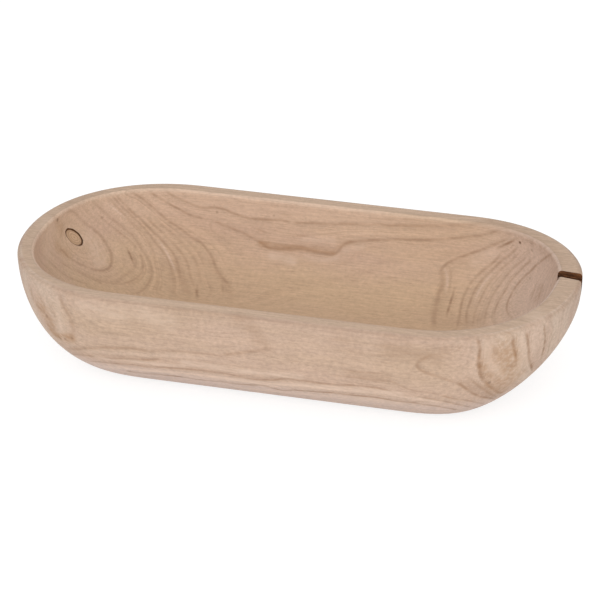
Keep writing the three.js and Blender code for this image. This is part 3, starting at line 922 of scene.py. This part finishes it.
class Finish:
    """The nodes of a material or of the world, built one at a time."""

    def __init__(self, owner):
        owner.use_nodes = True
        self.owner = owner
        self.tree = owner.node_tree
        self.tree.nodes.clear()

    def node(self, kind, inputs, output=0, **settings):
        made = self.tree.nodes.new("ShaderNode" + kind)
        for name, value in settings.items():
            setattr(made, name, value)
        for name, value in inputs.items():
            if isinstance(value, bpy.types.NodeSocket):
                self.tree.links.new(value, made.inputs[name])
            else:
                made.inputs[name].default_value = value
        return made.outputs[output] if made.outputs else None

    def math(self, operation, a, b=0.0, c=0.0):
        return self.node("Math", {0: a, 1: b, 2: c}, operation=operation)

    def times(self, *factors):
        product = factors[0]
        for factor in factors[1:]:
            product = self.math("MULTIPLY", product, factor)
        return product

    def most(self, *values):
        highest = values[0]
        for value in values[1:]:
            highest = self.math("MAXIMUM", highest, value)
        return highest

    def attribute(self, name):
        return self.node("Attribute", {}, output="Fac", attribute_name=name)

    def place(self, scale, shift=(0, 0, 0)):
        """The point on the object, in millimetres times a scale for each axis."""
        point = self.node("TexCoord", {}, output="Object")
        scaled = tuple(s / MM for s in scale)
        return self.node("VectorMath", {0: point, 1: scaled, 2: shift}, operation="MULTIPLY_ADD")

    def noise(self, scale, detail=2.0, rough=0.5, shift=(0, 0, 0)):
        """A number about 0.5 that varies over the object, this many times a millimetre each way."""
        place = self.place(scale, shift)
        inputs = {"Vector": place, "Scale": 1.0, "Detail": detail, "Roughness": rough}
        return self.node("TexNoise", inputs)

    def noise_along(self, value, scale, detail=1.0):
        inputs = {"W": value, "Scale": scale, "Detail": detail}
        return self.node("TexNoise", inputs, noise_dimensions="1D")

    def ramp(self, value, start, end, low=0.0, high=1.0):
        """A smooth step from low to high as a value goes from start to end."""
        inputs = {"Value": value, "From Min": start, "From Max": end, "To Min": low, "To Max": high}
        return self.node("MapRange", inputs, interpolation_type="SMOOTHSTEP")

    def mix(self, share, a, b, blend="MIX"):
        return self.node("Mix", {0: share, 6: a, 7: b}, output=2, data_type="RGBA", blend_type=blend)

    def shade(self, colour, light):
        """A colour made darker or lighter by a factor."""
        grey = self.node("CombineColor", {0: light, 1: light, 2: light})
        return self.mix(1.0, colour, grey, blend="MULTIPLY")

    def dot(self, point, way):
        """How far a point lies along a direction."""
        return self.node("VectorMath", {0: point, 1: tuple(way)}, output="Value", operation="DOT_PRODUCT")

    def near(self, centre, radius, edge):
        """1 within a radius of a point in millimetres, fading to 0 over an edge."""
        point = self.place((1, 1, 1))
        away = self.node("VectorMath", {0: point, 1: tuple(centre)}, output="Value", operation="DISTANCE")
        return self.ramp(away, radius + edge, radius)

    def year_rings(self, ring, spacing, shift):
        """How dark growth rings are: each darkens slowly, ends sharply, and has its own strength."""
        uneven = self.noise_along(self.math("ADD", ring, shift), RING_WAVERS / spacing)
        count = self.math("MULTIPLY_ADD", uneven, RING_WAVER, self.math("DIVIDE", ring, spacing))
        into = self.math("FRACT", count)
        own = self.node("TexWhiteNoise", {"W": self.math("FLOOR", count)}, noise_dimensions="1D")
        darken = self.ramp(into, *RING_DARKENS)
        end = self.ramp(into, *RING_ENDS)
        return self.times(darken, end, self.ramp(own, *RING_STRENGTHS))

    def finish(self, colour, rough, bump=None, bump_size=0.0, specular=0.3):
        inputs = {"Base Color": colour, "Roughness": rough, "Specular IOR Level": specular}
        if bump is not None:
            relief = {"Height": bump, "Distance": bump_size * MM, "Strength": 1.0}
            inputs["Normal"] = self.node("Bump", relief)
        shader = self.node("BsdfPrincipled", inputs)
        self.node("OutputMaterial", {"Surface": shader})
        return self.owner


TAN = linear(203, 175, 149)
ASH = linear(200, 171, 150)
OCHRE = linear(182, 156, 134)
PALE = linear(200, 177, 158)
ROSE = linear(189, 162, 143)
GREY = linear(200, 176, 160)
RIM_WOOD = linear(195, 168, 145)
PALE_GRAIN_AND_LIGHT = linear(220, 196, 177)
GRAIN_AND_SHADE_BROWN = linear(148, 117, 92)
STAIN_AND_SHADE_BROWN = linear(158, 118, 80)
HONEY = linear(199, 169, 136)
HIGH_PAINTED_LIGHT_TAN = linear(212, 185, 163)
# Low on the outside: painted light from the floor over the wood's own pink
LOW_PALE_AND_PAINTED_LIGHT = linear(205, 184, 172)
SPOT_BROWN = linear(98, 70, 50)
SPLIT_DARK = linear(50, 30, 18)
SPLIT_LIGHT = linear(122, 78, 47)
KNOT_LIGHT = linear(206, 177, 148)
KNOT_BROWN = linear(172, 142, 114)
BARK = linear(96, 66, 44)


def outer_wood(make, ring, across, height, broad):
    """Outside: ochre in its upper part, and pale and pink bands along the rings round that. Painted
    shade darkens it near the top, and painted light from the floor brightens it low down.
    """
    bands = make.ramp(make.noise_along(ring, 0.11, detail=2), 0.35, 0.65)
    upper = make.times(make.ramp(height, 20, 75), make.ramp(make.math("ABSOLUTE", across), 215, 150))
    colour = make.mix(upper, make.mix(bands, PALE, ROSE), make.mix(broad, OCHRE, ROSE))
    # Painted shade near the top of the outside
    colour = make.shade(colour, make.ramp(height, 70, 98, 1.0, 0.95))
    # Low down, a paler pinker colour: painted light from the floor over the wood's own pink
    low = make.times(make.ramp(height, 38, 20), make.ramp(across, 90, -60, 0.8, 1.0))
    colour = make.mix(low, colour, LOW_PALE_AND_PAINTED_LIGHT)
    # Painted light at the foot, where the bowl stands on the floor
    return make.shade(colour, make.ramp(height, 2, 22, 1.05, 1.0))


def inner_wood(make, across, height, broad):
    """In the cavity: tan, warmer low down, paler high up, and greyer to the right. The paler part is
    painted light, and its floor and left end are darker by painted shade.
    """
    # Painted shade on the floor of the cavity
    colour = make.shade(make.mix(broad, TAN, ASH), make.ramp(height, 16, 50, 0.9, 1.0))
    colour = make.mix(make.ramp(height, 62, 22, 0.0, 0.6), colour, HONEY)
    # Painted light high up on the walls of the cavity, mostly at the left
    paler = make.ramp(make.math("ABSOLUTE", make.math("ADD", across, 85)), 175, 110)
    colour = make.mix(make.times(make.ramp(height, 60, 90, 0.0, 0.7), paler), colour, HIGH_PAINTED_LIGHT_TAN)
    colour = make.mix(make.ramp(across, 110, 210), colour, GREY)
    # Painted shade at the left end of the cavity
    return make.shade(colour, make.ramp(across, -210, -120, 0.95, 1.0))


def rim_wood(make, across):
    """On the rim: streaks along the grain, and darker ends."""
    streaks = make.ramp(make.noise((0.008, 0.4, 0.4), detail=3, shift=(7, 7, 2)), 0.32, 0.68, 0.93, 1.05)
    from_middle = make.math("ABSOLUTE", make.math("SUBTRACT", across, 10))
    return make.shade(RIM_WOOD, make.times(streaks, make.ramp(from_middle, 90, 190, 0.975, 0.92)))


def ground_colour(make, ring, inside):
    """The wood's colour before its grain, from the outside over the rim to the cavity; the lip has painted
    shade.
    """
    point = make.place((1, 1, 1))
    across = make.node("SeparateXYZ", {0: point}, output=0)
    height = make.node("SeparateXYZ", {0: point}, output=2)
    broad = make.ramp(make.noise((0.006, 0.03, 0.03), detail=3), 0.35, 0.68)
    outer = outer_wood(make, ring, across, height, broad)
    colour = make.mix(make.ramp(inside, 0.15, 0.45), outer, rim_wood(make, across))
    colour = make.mix(make.ramp(inside, 0.6, 0.95), colour, inner_wood(make, across, height, broad))
    # Painted shade along the lip, where the rim turns down into the cavity
    lip = make.times(make.ramp(inside, 0.5, 0.7), make.ramp(inside, 1.0, 0.8))
    return make.shade(colour, make.math("MULTIPLY_ADD", lip, -0.1, 1.0))


def growth_rings(make, ring):
    """How light the broad rings are, and how dark the narrow ones. They fade in and out."""
    steep = make.ramp(make.attribute("ring_grade"), 0.03, 0.16, 0.2, 1.0)
    shown = make.ramp(make.noise((0.012, 0.05, 0.05), detail=2, shift=(3, 9, 1)), 0.35, 0.7, 0.3, 1.0)
    shown = make.times(shown, steep, make.attribute("ring_share"))
    tone = make.ramp(make.noise_along(ring, 0.55, detail=3), 0.3, 0.7, -1.0, 1.0)
    light = make.math("MULTIPLY_ADD", make.times(tone, shown), 0.065, 1.0)
    wide = make.times(make.year_rings(ring, 2.3, 0), 0.4)
    fine = make.times(make.year_rings(ring, 0.85, 40), 0.42)
    return light, make.times(make.most(wide, fine), shown)


def drawn_lines(make, sheet_count):
    """How dark and how pale the lines of the photograph are, softer on the side away from the bark."""
    darks = []
    pales = []
    for number in range(sheet_count):
        gap = make.attribute(f"line_gap_{number}")
        core = make.ramp(make.math("ABSOLUTE", gap), 2.1, 0.0)
        soft = make.times(make.ramp(gap, -3.6, 0.0), make.ramp(gap, 0.6, -0.6), 0.35)
        dark = make.attribute(f"line_dark_{number}")
        darks.append(make.times(make.most(core, soft), dark))
        pales.append(make.times(core, make.math("MULTIPLY", dark, -1.0)))
    broken = make.noise((0.06, 0.14, 0.14), detail=3, shift=(6, 2, 3))
    strength = make.ramp(broken, 0.32, 0.66, 0.5, 1.0)
    return make.times(make.most(*darks), strength), make.most(*pales)


def open_pores(make):
    """How dark the pores are, in short dashes and flecks along the grain."""
    dashes = make.ramp(make.noise((0.1, 0.8, 0.8), detail=2, shift=(4, 4, 4)), 0.56, 0.72)
    flecks = make.ramp(make.noise((0.3, 1.0, 1.0), detail=2, shift=(2, 8, 6)), 0.58, 0.74)
    patches = make.ramp(make.noise((0.02, 0.06, 0.06), detail=2, shift=(8, 1, 2)), 0.35, 0.65, 0.4, 1.0)
    return make.times(make.most(dashes, flecks), patches, 0.26)


def mottled(make, colour, inside):
    """A colour with a faint mottle, stronger outside than in the cavity."""
    mottle = make.noise((0.25, 0.4, 0.4), detail=4, rough=0.65, shift=(1, 5, 9))
    strength = make.ramp(inside, 0.15, 0.45, 0.65, 0.45)
    light = make.math("MULTIPLY_ADD", make.math("SUBTRACT", mottle, 0.5), strength, 1.0)
    return make.shade(colour, light)


def with_marks_and_painted_light(make, colour, spots):
    """A colour with the stains, the shades and the small dark spots, partly painted shade and light."""
    patchy = make.ramp(make.noise((0.06, 0.3, 0.3), detail=3, shift=(5, 1, 7)), 0.3, 0.65, 0.35, 1.0)
    stain_and_painted_shade = make.times(make.attribute("stain_and_painted_shade"), patchy)
    shade = make.times(make.attribute("shade"), patchy)
    colour = make.mix(stain_and_painted_shade, colour, STAIN_AND_SHADE_BROWN)
    colour = make.mix(make.math("MAXIMUM", shade, 0.0), colour, GRAIN_AND_SHADE_BROWN)
    pale = make.math("MAXIMUM", make.math("MULTIPLY", shade, -1.0), 0.0)
    colour = make.mix(pale, colour, PALE_GRAIN_AND_LIGHT)
    marks = []
    for centre, radius, dark in spots:
        marks.append(make.times(make.near(centre, radius * SPOT_CORE, radius), dark))
    return make.mix(make.most(*marks), colour, SPOT_BROWN)


def wood_finish(sheet_count, spots):
    """The bowl's wood: its ground colour, then rings, lines, pores and fibres, and its marks."""
    make = Finish(bpy.data.materials.new("paulownia"))
    wobble = make.noise((0.02, 0.09, 0.09), detail=2)
    ring = make.math("MULTIPLY_ADD", wobble, 0.5, make.attribute("ring"))
    inside = make.attribute("inside")
    fibre = make.noise((0.035, 0.8, 0.8), detail=4, rough=0.6)
    light, rings_dark = growth_rings(make, ring)
    lines_dark, lines_pale = drawn_lines(make, sheet_count)
    # Painted shade on the rim's outer edge, mixed in with the dark of the grain
    edge = make.times(make.attribute("edge"), 0.5)
    dark = make.most(rings_dark, lines_dark, open_pores(make), edge)

    colour = make.shade(ground_colour(make, ring, inside), light)
    colour = make.mix(make.math("MAXIMUM", lines_pale, 0.0), colour, PALE_GRAIN_AND_LIGHT)
    colour = make.mix(dark, colour, GRAIN_AND_SHADE_BROWN)
    colour = make.shade(colour, make.ramp(fibre, 0.3, 0.7, 0.925, 1.075))
    colour = with_marks_and_painted_light(make, mottled(make, colour, inside), spots)

    rough = make.ramp(fibre, 0.3, 0.7, 0.62, 0.74)
    relief = make.math("MULTIPLY_ADD", dark, -0.8, fibre)
    return make.finish(colour, rough, relief, 0.12)


def split_finish():
    make = Finish(bpy.data.materials.new("split_wood"))
    fibre = make.noise((0.06, 0.5, 0.9), detail=4, rough=0.65)
    colour = make.mix(make.ramp(fibre, 0.32, 0.72), SPLIT_DARK, SPLIT_LIGHT)
    return make.finish(colour, 0.85, fibre, 0.5, specular=0.15)


def knot_finish():
    """A knot's end grain: rings round its own middle, and dark bark on the side of the wide gap."""
    make = Finish(bpy.data.materials.new("knot_wood"))
    point = make.place((1, 1, 1), tuple(-KNOT_CENTRE))
    dot = make.dot(point, KNOT_AXIS)
    along = make.node("VectorMath", {0: tuple(KNOT_AXIS), "Scale": dot}, operation="SCALE")
    away = make.node("VectorMath", {0: point, 1: along}, output="Value", operation="DISTANCE")
    sideways = make.dot(point, -KNOT_LEAN)
    uneven = make.noise((0.25, 0.25, 0.25), detail=3)
    rings = make.noise_along(make.math("MULTIPLY_ADD", uneven, 1.6, away), 1.4, detail=2)
    colour = make.mix(make.ramp(rings, 0.35, 0.65), KNOT_LIGHT, KNOT_BROWN)
    bark = make.math("MULTIPLY_ADD", sideways, 1.2, away)
    bark = make.ramp(make.math("MULTIPLY_ADD", uneven, 0.6, bark), 5.0, 5.7)
    colour = make.mix(bark, colour, BARK)
    return make.finish(colour, 0.78, rings, 0.25, specular=0.2)


# Pieces

# Edges that turn by more degrees than this stay sharp
SHARP_ANGLE = 40


def soften(piece, angle):
    """Smooth shading, but for the edges that turn by more than an angle."""
    piece.data.shade_smooth()
    piece.data.set_sharp_from_angle(angle=math.radians(angle))


bowl = bowl_blank()
skin_graph = bpy.context.evaluated_depsgraph_get()
skin = BVHTree.FromObject(bowl, skin_graph)
ways = [read_line(skin, pixels) for _, _, pixels in GRAIN_LINES]
rings = bent_rings(ways)

knot = bpy.data.objects.new("loose_knot", bowl.data.copy())
bpy.context.scene.collection.objects.link(knot)
knot.data.materials.append(knot_finish())
carve(knot, branch("branch", 0, KNOT_LEAN), "INTERSECT")

hole = branch("hole", KNOT_GAP, Vector((0, 0, 0)))
hole.data.materials.append(split_finish())
split = split_cutter()
split.data.materials.append(hole.data.materials[0])

bowl.data.materials.append(None)
carve(bowl, hole, "DIFFERENCE")
carve(bowl, split, "DIFFERENCE")
sheet_count = add_rings(bowl.data, rings, ways)
add_marks(bowl.data, skin, "stain_and_painted_shade", STAINS_AND_PAINTED_SHADE)
add_marks(bowl.data, skin, "shade", GRAIN_SHADES_AND_PAINTED_LIGHT)
add_side(bowl.data)
spots = [(on_surface(skin, pixel), radius, dark) for pixel, radius, dark in SPOTS]
bowl.data.materials[0] = wood_finish(sheet_count, spots)
soften(bowl, SHARP_ANGLE)
soften(knot, SHARP_ANGLE)

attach(bowl, "root")
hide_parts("bowl")
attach(knot, "root")
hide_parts("dead_knot")


# Studio

# The floor in millimetres from its middle to its sides, its greys in light and as the camera
# sees it, and how much it and the sky glow
FLOOR_REACH = 6000
FLOOR_GREY = (0.95, 0.95, 0.95, 1)
FLOOR_SEEN = (0.32, 0.32, 0.32, 1)
FLOOR_GLOW = 0.78
SKY_GLOW = 0.8
WHITE = (1, 1, 1, 1)

# The lamp: its place, aim and size in millimetres, and its power in watts
LAMP_PLACE = (600, -2550, 1400)
LAMP_AIM = (0, 0, 50)
LAMP_SIZE = 2200
LAMP_POWER = 40


def make_floor():
    sides = [(-1, -1), (1, -1), (1, 1), (-1, 1)]
    corners = [(x * FLOOR_REACH, y * FLOOR_REACH, 0) for x, y in sides]
    floor = mesh_object("floor", corners, [(0, 1, 2, 3)])
    make = Finish(bpy.data.materials.new("floor"))
    seen = seen_ray(make)
    shade = make.node("BsdfDiffuse", {"Color": FLOOR_GREY})
    faint = make.node("BsdfDiffuse", {"Color": FLOOR_SEEN})
    glow = make.node("Emission", {"Color": WHITE, "Strength": FLOOR_GLOW})
    bright = make.node("AddShader", {0: faint, 1: glow})
    surface = make.node("MixShader", {0: seen, 1: shade, 2: bright})
    make.node("OutputMaterial", {"Surface": surface})
    floor.data.materials.append(make.owner)


def seen_ray(make):
    """1 for the rays that show the background: straight from the camera, mirrored or through glass."""
    camera = make.node("LightPath", {}, output="Is Camera Ray")
    glossy = make.node("LightPath", {}, output="Is Glossy Ray")
    through = make.node("LightPath", {}, output="Is Transmission Ray")
    return make.math("MAXIMUM", camera, make.math("MAXIMUM", glossy, through))


def make_world():
    world = bpy.data.worlds.new("studio")
    bpy.context.scene.world = world
    make = Finish(world)
    soft = make.node("Background", {"Color": WHITE, "Strength": SKY_GLOW})
    white = make.node("Background", {"Color": WHITE, "Strength": 1.0})
    surface = make.node("MixShader", {0: seen_ray(make), 1: soft, 2: white})
    make.node("OutputWorld", {"Surface": surface})


def make_lamp(name, place, aim, size, power):
    """A soft square lamp: its place, aim and size in millimetres, its power in watts."""
    lamp = bpy.data.lights.new(name, "AREA")
    lamp.size = size * MM
    lamp.energy = power
    lit = bpy.data.objects.new(name, lamp)
    bpy.context.scene.collection.objects.link(lit)
    lit.location = Vector(place) * MM
    way = Vector(aim) - Vector(place)
    lit.rotation_euler = way.to_track_quat("-Z", "Y").to_euler()


make_floor()
make_world()
make_lamp("front_lamp", LAMP_PLACE, LAMP_AIM, LAMP_SIZE, LAMP_POWER)
bpy.context.scene.view_settings.view_transform = "Standard"
